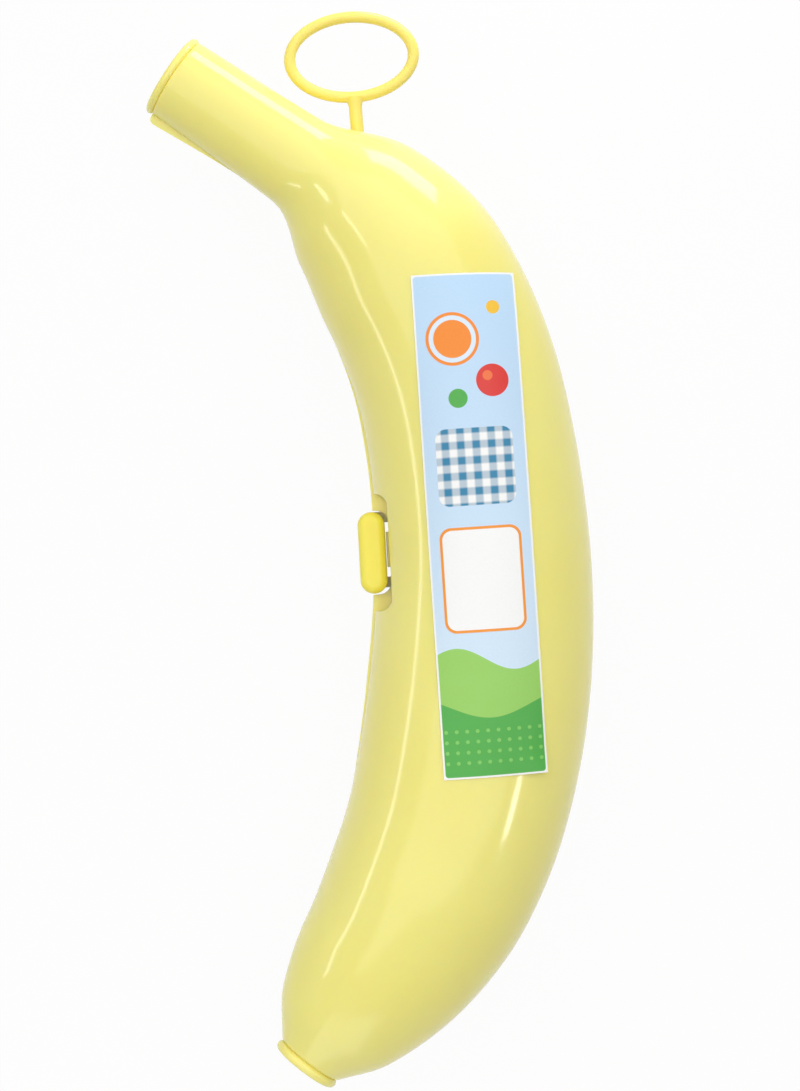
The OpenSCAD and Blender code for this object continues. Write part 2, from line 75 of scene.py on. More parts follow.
# Spine in plan, from the tip end: a straight run, bends by radius and turn, a straight run
tip_x = -13.638 * mm
tip_y = -115.822 * mm
tip_heading = math.radians(53)
tip_run = 28 * mm
stem_run = 36 * mm
bends = (
    (100 * mm, math.radians(24)),
    (200 * mm, math.radians(25)),
    (100 * mm, math.radians(17)),
    (80 * mm, math.radians(27)),
)
spine_runs = [(tip_run, 0), *((radius * turn, radius) for radius, turn in bends), (stem_run, 0)]
spine_len = sum(length for length, radius in spine_runs)

# Girth along the spine: distance from the tip end, width and depth
girth = (
    (0, 15.5 * mm, 15.5 * mm),
    (10 * mm, 30 * mm, 28 * mm),
    (26 * mm, 40.4 * mm, 39 * mm),
    (50 * mm, 47.4 * mm, 45.8 * mm),
    (88 * mm, 50.2 * mm, 47 * mm),
    (150 * mm, 46.8 * mm, 47 * mm),
    (spine_len - 71 * mm, 45 * mm, 44.8 * mm),
    (spine_len - 50 * mm, 36.6 * mm, 35 * mm),
    (spine_len - 33 * mm, 21.4 * mm, 21.4 * mm),
    (spine_len, 19.2 * mm, 19.2 * mm),
)


def spine_at(s):
    """Place and heading on the spine, a distance s from the tip end."""
    x, y, heading = tip_x, tip_y, tip_heading
    for length, radius in spine_runs:
        step = min(s, length)
        turned = heading + (step / radius if radius else 0)
        if radius:
            x += radius * (math.sin(turned) - math.sin(heading))
            y += radius * (math.cos(heading) - math.cos(turned))
        else:
            x += step * math.cos(heading)
            y += step * math.sin(heading)
        heading = turned
        s -= step
    return Vector((x, y, 0)), heading


def half_size(s, column):
    """Half the width (column 1) or depth (column 2), on a curve that never overshoots."""
    last = len(girth) - 2
    k = max(i for i in range(last + 1) if i == 0 or s >= girth[i][0])

    def rise(i):
        return (girth[i + 1][column] - girth[i][column]) / (girth[i + 1][0] - girth[i][0])

    def slope(i):
        if i == 0 or i == last + 1:
            return rise(min(i, last))
        before, after = rise(i - 1), rise(i)
        return 2 * before * after / (before + after) if before * after > 0 else 0

    span = girth[k + 1][0] - girth[k][0]
    t = (s - girth[k][0]) / span
    ease = t * t * (3 - 2 * t)
    size = girth[k][column] * (1 - ease) + girth[k + 1][column] * ease
    size += span * (slope(k) * t * (1 - t) ** 2 - slope(k + 1) * t * t * (1 - t))
    return size / 2


def convex_way(heading):
    """The level direction square to the spine, towards the case's convex side."""
    return Vector((math.sin(heading), -math.cos(heading), 0))


# Shares of the spine's length at which it is lofted, closer together at the round ends
loft_rings = 150
loft_sides = 96
back_round = 1.5 * mm
end_zone = back_round / spine_len
end_steps = 6
end_shares = [end_zone * (1 - math.cos(math.pi / 2 * k / end_steps)) for k in range(end_steps)]
shares = end_shares + [end_zone + (1 - 2 * end_zone) * k / loft_rings for k in range(loft_rings + 1)]
shares += [1 - t for t in reversed(end_shares)]
on_plane = 0.001 * mm


def inset_station(t, inset):
    """Distance along the spine at a share t of its length, with both ends inset."""
    return inset + (spine_len - 2 * inset) * t


def each_once(things):
    """Things in the order that they come, without repeats."""
    return list(dict.fromkeys(things))


def half_skin(bm, z, up, inset, cut_z, end_round=0.0):
    """One skin of a shell: circles along the spine, bridged, capped and cut at the rim."""
    share = bm.verts.layers.float["share"]
    older = set(bm.faces)
    loop = []
    for t in shares:
        s = inset_station(t, inset)
        place, heading = spine_at(s)
        short = max(0, end_round - min(s, spine_len - s))
        trim = inset + end_round - math.sqrt(end_round ** 2 - short ** 2)
        section = Matrix.Translation((place.x, place.y, z))
        section @= Matrix.Rotation(heading - math.pi / 2, 4, "Z")
        section @= Matrix.Rotation(math.pi / 2, 4, "X")
        section @= Matrix.Diagonal((half_size(s, 1) - trim, half_size(s, 2) - trim, 1, 1))
        ring = bmesh.ops.create_circle(
            bm, cap_ends=t in (0, 1), segments=loft_sides, radius=1, matrix=section
        )["verts"]
        for v in ring:
            v[share] = t
        edges = each_once(e for v in ring for e in v.link_edges)
        if loop:
            bmesh.ops.bridge_loops(bm, edges=loop + edges)
        loop = edges
    faces = [f for f in bm.faces if f not in older]
    geom = faces + each_once(e for f in faces for e in f.edges)
    geom += each_once(v for f in faces for v in f.verts)
    cut = bmesh.ops.bisect_plane(
        bm, geom=geom, dist=on_plane, plane_co=(0, 0, cut_z), plane_no=(0, 0, up), clear_inner=True
    )
    return [e for e in cut["geom_cut"] if isinstance(e, bmesh.types.BMEdge) and e.is_boundary]


def rim_step(bm, edges, inset, z):
    """Carries an open rim on to a new loop at height z, inset from the outside."""
    share = bm.verts.layers.float["share"]
    grown = bmesh.ops.extrude_edge_only(bm, edges=edges)["geom"]
    fresh = [g for g in grown if isinstance(g, bmesh.types.BMVert)]
    for v in fresh:
        place, heading = spine_at(inset_station(v[share], 0))
        outward = (v.co - place).dot(convex_way(heading))
        s = inset_station(v[share], inset)
        place, heading = spine_at(s)
        point = place + math.copysign(half_size(s, 1) - inset, outward) * convex_way(heading)
        v.co = Vector((point.x, point.y, z))
    on_loop = set(fresh)
    return each_once(e for v in fresh for e in v.link_edges if set(e.verts) <= on_loop)


rim_round = 0.2 * mm


def half_shell(z, up, rim, inner_z, end_round):
    """A closed half shell: outer skin, the steps across its rim, and the inner skin."""
    bm = bmesh.new()
    bm.verts.layers.float.new("share")
    loop = half_skin(bm, z, up, 0, z + up * rim_round, end_round)
    outer = list(bm.verts)
    for inset, height in rim:
        loop = rim_step(bm, loop, inset, height)
    inner = half_skin(bm, z, up, wall, inner_z)
    bmesh.ops.bridge_loops(bm, edges=loop + inner)
    return bm, outer


def finished_mesh(bm, name):
    """Closes a bmesh into a mesh with smooth faces and crisp edges."""
    crisp = math.radians(38)
    bmesh.ops.remove_doubles(bm, verts=bm.verts, dist=on_plane)
    bmesh.ops.recalc_face_normals(bm, faces=bm.faces)
    mesh = bpy.data.meshes.new(name)
    bm.to_mesh(mesh)
    bm.free()
    mesh.shade_smooth()
    mesh.set_sharp_from_angle(angle=crisp)
    return mesh


def solid_of(solid, operation, *tools):
    """A closed solid with others joined to it (UNION) or cut away from it (DIFFERENCE)."""
    for tool in tools:
        things = []
        for bm in (solid, tool):
            things.append(bpy.data.objects.new("stock", finished_mesh(bm, "stock")))
            bpy.context.scene.collection.objects.link(things[-1])
        step = things[0].modifiers.new("step", "BOOLEAN")
        step.operation = operation
        step.solver = "EXACT"
        step.object = things[1]
        solid = bmesh.new()
        solid.from_object(things[0], bpy.context.evaluated_depsgraph_get())
        for thing in things:
            bpy.data.objects.remove(thing)
    return solid


def together(*solids):
    """Several closed solids that don't touch, as one bmesh."""
    whole = solids[0]
    for solid in solids[1:]:
        carrier = bpy.data.meshes.new("carrier")
        solid.to_mesh(carrier)
        solid.free()
        whole.from_mesh(carrier)
        bpy.data.meshes.remove(carrier)
    return whole


def block(place, low, high, round_off=0.0, round_steps=2):
    """A closed block between two corners of a local frame, its upright edges rounded off."""
    bm = bmesh.new()
    low, high = Vector(low), Vector(high)
    size = Matrix.Diagonal((*(high - low), 1))
    bmesh.ops.create_cube(bm, size=1, matrix=Matrix.Translation((low + high) / 2) @ size)
    if round_off:
        upright = [e for e in bm.edges if abs(e.verts[0].co.z - e.verts[1].co.z) > on_plane]
        bmesh.ops.bevel(
            bm, geom=upright, offset=round_off, affect="EDGES", segments=round_steps,
            profile=0.5, material=-1
        )
    bmesh.ops.transform(bm, matrix=place, verts=bm.verts)
    return bm


def rod(place, radius, start, end, sides=48, end_radius=None):
    """A closed cylinder along a local frame's Y axis, or a cone where the far end differs."""
    bm = bmesh.new()
    lie = Matrix.Translation((0, (start + end) / 2, 0)) @ Matrix.Rotation(-math.pi / 2, 4, "X")
    bmesh.ops.create_cone(
        bm, cap_ends=True, segments=sides, radius1=radius, radius2=end_radius or radius,
        depth=end - start, matrix=place @ lie
    )
    return bm


back_bm, back_outer = half_shell(
    parting_z, -1,
    ((rim_round, parting_z), (wall / 2, parting_z), (wall / 2, parting_z + tongue_h),
     (wall, parting_z + tongue_h)),
    parting_z, back_round,
)

# On the inner curve this half stands proud of the other: a little by the clip, more at the stem
proud_depth = 6 * mm
proud_fade = 1.5
stem_proud = 2.1 * mm
stem_zone = 24 * mm
stem_fade = 1.2
clip_proud = 0.6 * mm
clip_zone = 60 * mm
clip_ramp = 0.5
clip_station = 126 * mm
share = back_bm.verts.layers.float["share"]
for v in back_outer:
    s = inset_station(v[share], 0)
    place, heading = spine_at(s)
    out = convex_way(heading)
    depth = (parting_z - v.co.z) / proud_depth
    if (v.co - place).dot(out) < 0 and depth < 1:
        near_stem = max(0, 1 - (spine_len - s) / stem_zone)
        near_clip = max(0, 1 - abs(s - clip_station) / clip_zone)
        proud = stem_proud * near_stem ** stem_fade + clip_proud * min(1, near_clip / clip_ramp)
        v.co -= out * proud * (1 - depth) ** proud_fade

flat_cut = back_outer + each_once(e for v in back_outer for e in v.link_edges)
flat_cut += each_once(f for v in back_outer for f in v.link_faces)
bmesh.ops.bisect_plane(
    back_bm, geom=flat_cut, dist=on_plane, plane_co=(0, 0, flat_z), plane_no=(0, 0, 1)
)
for v in back_bm.verts:
    v.co.z = max(v.co.z, flat_z)


def joint_frame(name):
    """A local frame at a joint: Y along its axis, Z up, X away from the case."""
    joint = next(j for j in frame["joints"] if j["name"] == name)
    along = Vector(joint["axis"]).normalized()
    out = along.cross(Vector((0, 0, 1)))
    axes = Matrix((out, along, (0, 0, 1))).transposed().to_4x4()
    return Matrix.Translation(joint["pos_m"]) @ axes


# Places of the fittings, from the joints that they turn on
hinge_place = joint_frame("lid_hinge")
clip_place = joint_frame("clip_turn")
ring_place = joint_frame("ring_swivel")
hinge_drop = parting_z - hinge_place.translation.z
clip_pin_drop = parting_z - clip_place.translation.z
beyond = 12 * mm
weld = 0.05 * mm

# The rib, the wall behind the clip's recess and the socket grow out of the moulding, and a
# low lap closes the gap between that wall and the shell
hinge_len = 34 * mm
hinge_pin_r = 0.9 * mm
rib_r = 2.2 * mm
rib_out = 0.6 * mm
recess_floor = -2.4 * mm
recess_wall = 1.8 * mm
recess_lap = 0.8 * mm
back_lap = 2.2 * mm
back_lap_h = 3.5 * mm
recess_len = 26.4 * mm
recess_h = 9.5 * mm
recess_r = 2.8 * mm
recess_steps = 8
socket_r = 3.2 * mm
socket_len = 6 * mm
stem_bore_r = 1.6 * mm
recess_half = recess_len / 2 + wall
back_bm = solid_of(back_bm, "UNION", together(
    block(hinge_place, (-rib_r, -hinge_len / 2, -rib_r), (rib_out, hinge_len / 2, rib_r)),
    block(clip_place, (recess_floor - recess_wall, -recess_half, clip_pin_drop - recess_h),
          (recess_floor + recess_lap, recess_half, clip_pin_drop)),
    rod(ring_place, socket_r, -socket_len, -wall / 2),
), block(
    clip_place, (recess_floor + weld, weld - recess_half, clip_pin_drop - back_lap_h),
    (recess_floor + back_lap, recess_half - weld, clip_pin_drop - weld),
))

# Slots for the lugs, the edge that the front rim rolls over, and the clip's room
lug_at = 10 * mm
lug_slot = 8.1 * mm
lug_sweep = 3.3 * mm
hinge_zone = 40.4 * mm
roll_r = 5.9 * mm
roll_from = 3 * mm
clip_room = 19 * mm


def recess_room(low, high, length):
    """The upright room that the clip lies in, round at its inner corners."""
    inner_corner = (recess_floor, -length / 2, low)
    outer_corner = (beyond, length / 2, high)
    return block(clip_place, inner_corner, outer_corner, recess_r, recess_steps)


roll_edge = solid_of(
    block(hinge_place, (0, -hinge_zone, roll_from), (beyond, hinge_zone, beyond)),
    "DIFFERENCE", rod(hinge_place, roll_r, -2 * hinge_zone, 2 * hinge_zone, sides=96)
)
tongue_end = block(
    hinge_place, (-beyond, -hinge_zone - weld, hinge_drop),
    (beyond + weld, hinge_zone + weld, 2 * beyond)
)
lug_slots = [block(
    hinge_place, (-lug_sweep, side * lug_at - lug_slot / 2, -lug_sweep),
    (beyond - weld, side * lug_at + lug_slot / 2, beyond + weld)) for side in (-1, 1)]
hinge_cut = solid_of(roll_edge, "UNION", tongue_end, *lug_slots)
clip_cut = solid_of(
    recess_room(-2 * beyond, beyond, clip_room), "UNION",
    recess_room(clip_pin_drop, beyond + weld, recess_len)
)
back_bm = solid_of(back_bm, "DIFFERENCE", together(hinge_cut, clip_cut))

# Ears for the clip's pin, rods whose inner half runs back into the recess's wall, and then
# the bores for both pins and for the ring's stem
ear_at = 7.4 * mm
ear_shift = -0.6 * mm
ear_t = 2.4 * mm
ear_r = 1.7 * mm
clip_pin_r = 0.8 * mm
pin_fit = 0.02 * mm
ear_reach = ear_at + ear_t / 2 + weld
ears = []
for side in (-1, 1):
    start = side * ear_at + ear_shift - ear_t / 2
    ear = rod(Matrix.Identity(4), ear_r, start, start + ear_t)
    for v in ear.verts:
        if v.co.x < -on_plane:
            v.co.x = recess_floor - weld
    bmesh.ops.transform(ear, matrix=clip_place, verts=ear.verts)
    ears.append(ear)
back_bm = solid_of(back_bm, "UNION", together(*ears))
back_bm = solid_of(back_bm, "DIFFERENCE", together(
    rod(hinge_place, hinge_pin_r + pin_fit, wall - hinge_len / 2, hinge_len / 2 + weld),
    rod(clip_place, clip_pin_r + pin_fit, ear_shift - ear_reach, ear_shift + ear_reach),
    rod(ring_place, stem_bore_r, -beyond, beyond),
))


def piece_from(bm, name, body, slot_name, *nodes):
    """Puts a finished bmesh in the scene as a piece that stands for some CAD nodes."""
    piece = bpy.data.objects.new(name, finished_mesh(bm, name))
    bpy.context.scene.collection.objects.link(piece)
    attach(piece, body)
    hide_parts(*nodes)
    return piece


back = piece_from(back_bm, "back_shell_moulding", "back", "shell_plastic", "back_shell")


def srgb(red, green, blue):
    """A shader colour from the 0 to 255 values of a colour chart."""
    return tuple(((c / 255 + 0.055) / 1.055) ** 2.4 for c in (red, green, blue)) + (1,)


def add(tree, kind, inputs=None, **settings):
    """Adds a shader node with its settings, and sets or links its inputs."""
    made = tree.nodes.new("ShaderNode" + kind)
    for name, value in settings.items():
        setattr(made, name, value)
    for name, value in (inputs or {}).items():
        if isinstance(value, bpy.types.NodeSocket):
            tree.links.new(value, made.inputs[name])
        else:
            made.inputs[name].default_value = value
    return made


def blend(tree, share, first, second, blend_type="MIX"):
    """Two colours mixed by a share. The Mix node's colour sockets go by number alone."""
    colours = {"Factor": share, 6: first, 7: second}
    return add(tree, "Mix", colours, data_type="RGBA", blend_type=blend_type).outputs[2]


# A moulding's surface: slow drifts of colour, a soft ripple, fine grain and rub marks
moulded = bpy.data.node_groups.new("moulded_surface", "ShaderNodeTree")
for name in ("Colour", "Deep colour"):
    moulded.interface.new_socket(name=name, in_out="INPUT", socket_type="NodeSocketColor")
for name in ("Satin roughness", "Rub"):
    moulded.interface.new_socket(name=name, in_out="INPUT", socket_type="NodeSocketFloat")
moulded.interface.new_socket(name="Colour", in_out="OUTPUT", socket_type="NodeSocketColor")
for name in ("Roughness", "Height"):
    moulded.interface.new_socket(name=name, in_out="OUTPUT", socket_type="NodeSocketFloat")
given = moulded.nodes.new("NodeGroupInput").outputs
spot = add(moulded, "TexCoord").outputs["Object"]
drift = add(moulded, "TexNoise", {"Vector": spot, "Scale": 24, "Detail": 3}).outputs["Fac"]
drift_share = add(moulded, "MapRange", {"Value": drift, "From Min": 0.35, "From Max": 0.68}).outputs[0]
tone = blend(moulded, drift_share, given["Colour"], given["Deep colour"])
rub_spot = add(moulded, "Mapping", {"Vector": spot, "Rotation": (0, 0, 0.4), "Scale": (900, 70, 300)})
rub = add(moulded, "TexNoise", {"Vector": rub_spot.outputs[0], "Scale": 1, "Detail": 4}).outputs["Fac"]
rub_share = add(moulded, "MapRange", {"Value": rub, "From Min": 0.58, "From Max": 0.78}).outputs[0]
haze = add(moulded, "TexNoise", {"Vector": spot, "Scale": 60, "Detail": 4}).outputs["Fac"]
rubbed = add(moulded, "Math", {0: rub_share, 1: haze}, operation="MULTIPLY").outputs[0]
rough = add(moulded, "Math", {0: rubbed, 1: given["Rub"], 2: given["Satin roughness"]},
            operation="MULTIPLY_ADD").outputs[0]
grain = add(moulded, "TexNoise", {"Vector": spot, "Scale": 1800, "Detail": 2}).outputs["Fac"]
ripple = add(moulded, "TexNoise", {"Vector": spot, "Scale": 70, "Detail": 1}).outputs["Fac"]
grain_share = 0.02
height = add(moulded, "Math", {0: grain, 1: grain_share, 2: ripple},
             operation="MULTIPLY_ADD").outputs[0]
given_out = moulded.nodes.new("NodeGroupOutput").inputs
moulded.links.new(tone, given_out["Colour"])
moulded.links.new(rough, given_out["Roughness"])
moulded.links.new(height, given_out["Height"])


satin_roughness = 0.42
glow_depth = 2.5 * mm


def moulding(name, colour, deep, gloss_roughness, gloss_weight, rub_amount, ripple_h):
    """A plastic finish over the shared surface: satin underneath, with a smooth mould skin."""
    finish = bpy.data.materials.new(name)
    finish.use_nodes = True
    tree = finish.node_tree
    skin = add(tree, "Group", node_tree=moulded)
    skin.inputs["Colour"].default_value = colour
    skin.inputs["Deep colour"].default_value = deep
    skin.inputs["Satin roughness"].default_value = satin_roughness
    skin.inputs["Rub"].default_value = rub_amount
    bump = add(tree, "Bump", {"Height": skin.outputs["Height"], "Strength": 1, "Distance": ripple_h})
    plastic = tree.nodes["Principled BSDF"]
    plastic.inputs["IOR"].default_value = 1.49
    plastic.inputs["Specular IOR Level"].default_value = 0.25
    plastic.inputs["Coat Weight"].default_value = gloss_weight
    plastic.inputs["Coat Roughness"].default_value = gloss_roughness
    plastic.inputs["Coat IOR"].default_value = 1.6
    plastic.inputs["Subsurface Weight"].default_value = 0.5
    plastic.inputs["Subsurface Radius"].default_value = (1, 0.75, 0.25)
    plastic.inputs["Subsurface Scale"].default_value = glow_depth
    tree.links.new(skin.outputs["Colour"], plastic.inputs["Base Color"])
    tree.links.new(skin.outputs["Roughness"], plastic.inputs["Roughness"])
    tree.links.new(bump.outputs["Normal"], plastic.inputs["Normal"])
    return finish


shell_yellow = srgb(247, 236, 135)
shell_deep = srgb(244, 232, 125)
shell_plastic = moulding(
    "pale_polypropylene", shell_yellow, shell_deep,
    gloss_roughness=0.12, gloss_weight=0.6, rub_amount=0.12, ripple_h=0.006 * mm
)
back.data.materials.append(shell_plastic)

# Hinge pin and clip pin
# Two straight lengths of drawn steel wire, pressed into the back shell's rib and ears.
# Their CAD shapes are right as they are, so they only take a finish.
drawn_wire = bpy.data.materials.new("drawn_wire")
drawn_wire.use_nodes = True
wire_tree = drawn_wire.node_tree
wire_spot = add(wire_tree, "TexCoord").outputs["Object"]
wire_draw = add(wire_tree, "Mapping", {"Vector": wire_spot, "Scale": (5000, 60, 5000)}).outputs[0]
wire_lines = add(wire_tree, "TexNoise", {"Vector": wire_draw, "Scale": 1, "Detail": 3}).outputs["Fac"]
wire_dark = srgb(176, 178, 180)
wire_light = srgb(214, 215, 216)
wire_tone = blend(wire_tree, wire_lines, wire_dark, wire_light)
wire_rough = add(wire_tree, "MapRange", {"Value": wire_lines, "To Min": 0.22, "To Max": 0.4}).outputs[0]
wire_bump = add(wire_tree, "Bump", {"Height": wire_lines, "Strength": 0.4, "Distance": 0.02 * mm})
wire_steel = wire_tree.nodes["Principled BSDF"]
wire_steel.inputs["Metallic"].default_value = 1
wire_tree.links.new(wire_tone, wire_steel.inputs["Base Color"])
wire_tree.links.new(wire_rough, wire_steel.inputs["Roughness"])
wire_tree.links.new(wire_bump.outputs["Normal"], wire_steel.inputs["Normal"])
for node_name in ("hinge_pin", "latch_pin"):
    frame["nodes"][node_name].data.materials.clear()
    frame["nodes"][node_name].data.materials.append(drawn_wire)

# Hang ring
# An oval finger ring on a round stem, moulded in one in a deeper yellow. A head on the
# stem's inner end keeps it in the back shell's socket, where it turns freely.
ring_bar_r = 1.3 * mm
ring_a = 14.1 * mm
ring_b = 9.1 * mm
ring_reach = 17.4 * mm
ring_steps = 96
ring_sides = 24
stem_r = 1.5 * mm
stem_gap = 0.1 * mm
head_r = 2.5 * mm
head_t = 1.6 * mm
flare_len = 2.2 * mm
flare_r = 2.1 * mm
ring_bm = bmesh.new()
loops = []
for k in range(ring_steps):
    turn = 2 * math.pi * k / ring_steps
    middle = Vector((ring_a * math.cos(turn), ring_reach + ring_b * math.sin(turn), 0))
    out = Vector((ring_b * math.cos(turn), ring_a * math.sin(turn), 0)).normalized()
    section = Matrix((out, (0, 0, 1), out.cross(Vector((0, 0, 1))))).transposed().to_4x4()
    bar = bmesh.ops.create_circle(
        ring_bm, segments=ring_sides, radius=ring_bar_r,
        matrix=ring_place @ Matrix.Translation(middle) @ section
    )["verts"]
    loops.append(each_once(e for v in bar for e in v.link_edges))
for k in range(ring_steps):
    bmesh.ops.bridge_loops(ring_bm, edges=loops[k - 1] + loops[k])
stem_end = -socket_len - stem_gap
ring_low = ring_reach - ring_b
ring_bm = solid_of(
    ring_bm, "UNION",
    rod(ring_place, stem_r, ring_low - flare_len, ring_low, end_radius=flare_r),
    rod(ring_place, stem_r, stem_end - weld, ring_low),
    rod(ring_place, head_r, stem_end - head_t, stem_end),
)
ring = piece_from(ring_bm, "ring_moulding", "ring", "trim_plastic", "hang_ring")
ring_yellow = srgb(240, 224, 114)
ring_deep = srgb(237, 219, 102)
ring_plastic = moulding(
    "ring_polypropylene", ring_yellow, ring_deep,
    gloss_roughness=0.2, gloss_weight=0.5, rub_amount=0.14, ripple_h=0.01 * mm
)
ring.data.materials.append(ring_plastic)

# Front shell
# The upper half of the case, moulded like the back, with a groove in its rim for the
# tongue, a half-round lip on each end, two hinge lugs and the catch for the clip.
tongue_gap = 0.25 * mm
groove_h = tongue_h + tongue_gap
groove_w = wall / 2 - tongue_gap
groove_z = front_z + groove_h
groove_land = 0.1 * mm
front_round = 0.5 * mm
front_bm, _ = half_shell(
    front_z, 1,
    ((rim_round, front_z), (groove_w, front_z), (groove_w, groove_z), (wall, groove_z)),
    groove_z + groove_land, front_round,
)

# A shallow thumb scoop flattens the wall above the clip
scoop_half_len = 13.6 * mm
scoop_top = 19 * mm
scoop_depth = 1.5 * mm
scoop_from = 0.3
scoop_fade = 1.5
to_clip = clip_place.inverted()
for v in front_bm.verts:
    local = to_clip @ v.co
    up_wall = (local.z - clip_pin_drop) / scoop_top
    along = local.y / scoop_half_len
    if abs(along) < 1 and 0 <= up_wall < 1 and local.x > -beyond:
        press = (1 - along ** 2) ** scoop_fade * (1 - up_wall ** 2) ** scoop_fade
        press *= min(1, up_wall / scoop_from)
        v.co -= clip_place.to_3x3() @ Vector((scoop_depth * press, 0, 0))


lip_round_share = 0.48


def lip(s, ahead, radius, thick):
    """A half-round lip on an end: a disc with a round edge, cut at the rim's plane."""
    place, heading = spine_at(s)
    bm = bmesh.new()
    face = Matrix.Translation((place.x, place.y, front_z))
    face @= Matrix.Rotation(heading - math.pi / 2, 4, "Z")
    face @= Matrix.Translation((0, ahead * thick / 2, 0)) @ Matrix.Rotation(math.pi / 2, 4, "X")
    bmesh.ops.create_cone(
        bm, cap_ends=True, segments=96, radius1=radius, radius2=radius, depth=thick, matrix=face
    )
    rim = [e for e in bm.edges if any(len(f.verts) > 4 for f in e.link_faces)]
    bmesh.ops.bevel(
        bm, geom=rim, offset=lip_round_share * thick, affect="EDGES", segments=6,
        profile=0.5, material=-1
    )
    bmesh.ops.bisect_plane(
        bm, geom=bm.verts[:] + bm.edges[:] + bm.faces[:], dist=on_plane,
        plane_co=(0, 0, front_z), plane_no=(0, 0, 1), clear_inner=True
    )
    bmesh.ops.holes_fill(bm, edges=[e for e in bm.edges if e.is_boundary])
    return bm


# The wall of the clip's recess, the lips, the lugs that reach down to the hinge pin, and the
# lap between that wall and the shell, which starts above the groove
lip_over = 0.3 * mm
stem_lip_t = 1.8 * mm
tip_lip_t = 2.3 * mm
front_lap = 1.9 * mm
front_lap_h = 4.5 * mm
lug_len = 7.5 * mm
lug_r = 1.8 * mm
arm_in = 0.9 * mm
arm_up = 2 * wall + parting_gap
fittings = [
    block(clip_place, (recess_floor - recess_wall, -recess_half, clip_pin_drop + parting_gap),
          (recess_floor + recess_lap, recess_half, clip_pin_drop + recess_h)),
    lip(spine_len - weld, 1, half_size(spine_len, 1) + lip_over, stem_lip_t + weld),
    lip(weld, -1, half_size(0, 1) + lip_over, tip_lip_t + weld),
]
for side in (-1, 1):
    start = side * lug_at - lug_len / 2
    fittings.append(solid_of(
        block(hinge_place, (-arm_in, start, 0), (lug_r, start + lug_len, hinge_drop + arm_up)),
        "UNION", rod(hinge_place, lug_r, start, start + lug_len)))
front_bm = solid_of(front_bm, "UNION", together(*fittings), block(
    clip_place, (recess_floor + weld, weld - recess_half, clip_pin_drop + parting_gap + groove_h),
    (recess_floor + front_lap, recess_half - weld, clip_pin_drop + front_lap_h),
))

# The bore for the hinge pin, the clip's room, and the catch that stands in it
pin_run = 0.1 * mm
catch_len = 8 * mm
catch_low = 0.8 * mm
catch_h = 1.8 * mm
catch_out = 0.65 * mm
front_bm = solid_of(front_bm, "DIFFERENCE", together(
    rod(hinge_place, hinge_pin_r + pin_run, -hinge_len / 2, hinge_len / 2),
    recess_room(-beyond, 2 * beyond, recess_len),
))
front_bm = solid_of(front_bm, "UNION", block(
    clip_place,
    (recess_floor - weld, ear_shift - catch_len / 2, clip_pin_drop + catch_low),
    (recess_floor + catch_out, ear_shift + catch_len / 2, clip_pin_drop + catch_low + catch_h)))
front = piece_from(front_bm, "front_shell_moulding", "front", "shell_plastic", "front_shell")
front.data.materials.append(shell_plastic)

# Clip
# The turning latch on the inner curve, a rounded bar in the deeper yellow. Its foot turns
# on the clip pin between the ears, and a groove on its inner side hooks over the catch.
clip_in = -1.6 * mm
clip_w = 6.1 * mm
clip_len = 18.4 * mm
clip_top = 10 * mm
clip_corner_r = 3 * mm
clip_foot_r = 2.1 * mm
clip_round = 1.7 * mm
clip_bm = block(Matrix.Identity(4), (clip_in, -clip_len / 2, -clip_foot_r),
                (clip_in + clip_w, clip_len / 2, clip_top), clip_corner_r, round_steps=12)
top_edges = [e for e in clip_bm.edges if all(v.co.z > clip_top - on_plane for v in e.verts)]
bmesh.ops.bevel(
    clip_bm, geom=top_edges, offset=clip_round, affect="EDGES", segments=8, profile=0.5, material=-1
)
bmesh.ops.transform(clip_bm, matrix=clip_place, verts=clip_bm.verts)

# Below the pin only a round foot is left, and the groove and the ears' room are cut out
hook_depth = 1.2 * mm
hook_low = 5.15 * mm
hook_h = 2.1 * mm
ear_gap = 0.3 * mm
foot_half = clip_len / 2 - clip_corner_r
below_foot = solid_of(
    block(clip_place, (-beyond, -beyond, -beyond), (beyond, beyond, 0)), "DIFFERENCE",
    rod(clip_place, clip_foot_r, -foot_half, foot_half))
ear_rooms = []
for side in (-1, 1):
    middle = side * ear_at + ear_shift
    ear_rooms.append(block(
        clip_place, (clip_in - wall, middle - ear_t / 2 - ear_gap, -beyond - weld),
        (ear_r + ear_gap, middle + ear_t / 2 + ear_gap, ear_r + ear_gap)))
clip_bm = solid_of(
    clip_bm, "DIFFERENCE", below_foot,
    block(clip_place, (clip_in - wall, -clip_len, hook_low),
          (clip_in + hook_depth, clip_len, hook_low + hook_h)),
    together(*ear_rooms),
    rod(clip_place, clip_pin_r + pin_run, -clip_len, clip_len),
)
clip = piece_from(clip_bm, "clip_moulding", "clip", "trim_plastic", "latch_clip")
clip_yellow = srgb(247, 233, 88)
clip_deep = srgb(244, 228, 78)
clip_plastic = moulding(
    "clip_polypropylene", clip_yellow, clip_deep,
    gloss_roughness=0.24, gloss_weight=0.45, rub_amount=0.14, ripple_h=0.01 * mm
)
clip.data.materials.append(clip_plastic)

